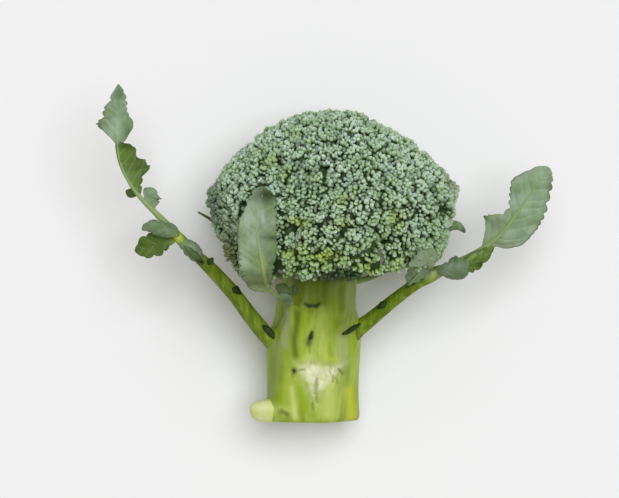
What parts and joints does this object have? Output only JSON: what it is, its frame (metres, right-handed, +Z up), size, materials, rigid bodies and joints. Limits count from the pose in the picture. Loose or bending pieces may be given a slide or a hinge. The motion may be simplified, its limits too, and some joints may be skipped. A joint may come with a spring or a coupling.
{
  "type": "broccoli head",
  "caption": "Broccoli head lying on its side: a domed crown of bud florets on a thick ribbed stalk, with long lobed leaves.",
  "frame": {"origin": "bottom centre of the whole head's box, on the surface that it lies on", "axes": "+Y along the stalk from its cut end towards the crown, +X across the leaves to the right, +Z up from the surface"},
  "size_m": [0.2419, 0.1813, 0.1138],
  "materials": {
    "stalk": "moist yellow-green skin with paler ribs and a waxy sheen",
    "florets": "dull grey-green buds with a waxy bloom, yellower in places",
    "leaf": "grey-green leaf with a waxy bloom, pale midrib and fine veins"
  },
  "bodies": {
    "root": {"stalk": "stalk", "floret_01": "florets", "floret_02": "florets", "floret_03": "florets", "floret_04": "florets", "floret_05": "florets", "floret_06": "florets", "floret_07": "florets", "floret_08": "florets", "floret_09": "florets", "floret_10": "florets", "floret_11": "florets", "floret_12": "florets", "floret_13": "florets", "floret_14": "florets", "floret_15": "florets", "floret_16": "florets", "floret_17": "florets", "floret_18": "florets", "floret_19": "florets", "floret_20": "florets", "floret_21": "florets", "floret_22": "florets", "floret_23": "florets", "floret_24": "florets", "floret_25": "florets", "floret_26": "florets", "leaf_left": "leaf", "leaf_right": "leaf", "leaf_front": "leaf", "leaf_sliver_left": "leaf", "leaf_sliver_right": "leaf"}
  },
  "joints": []
}
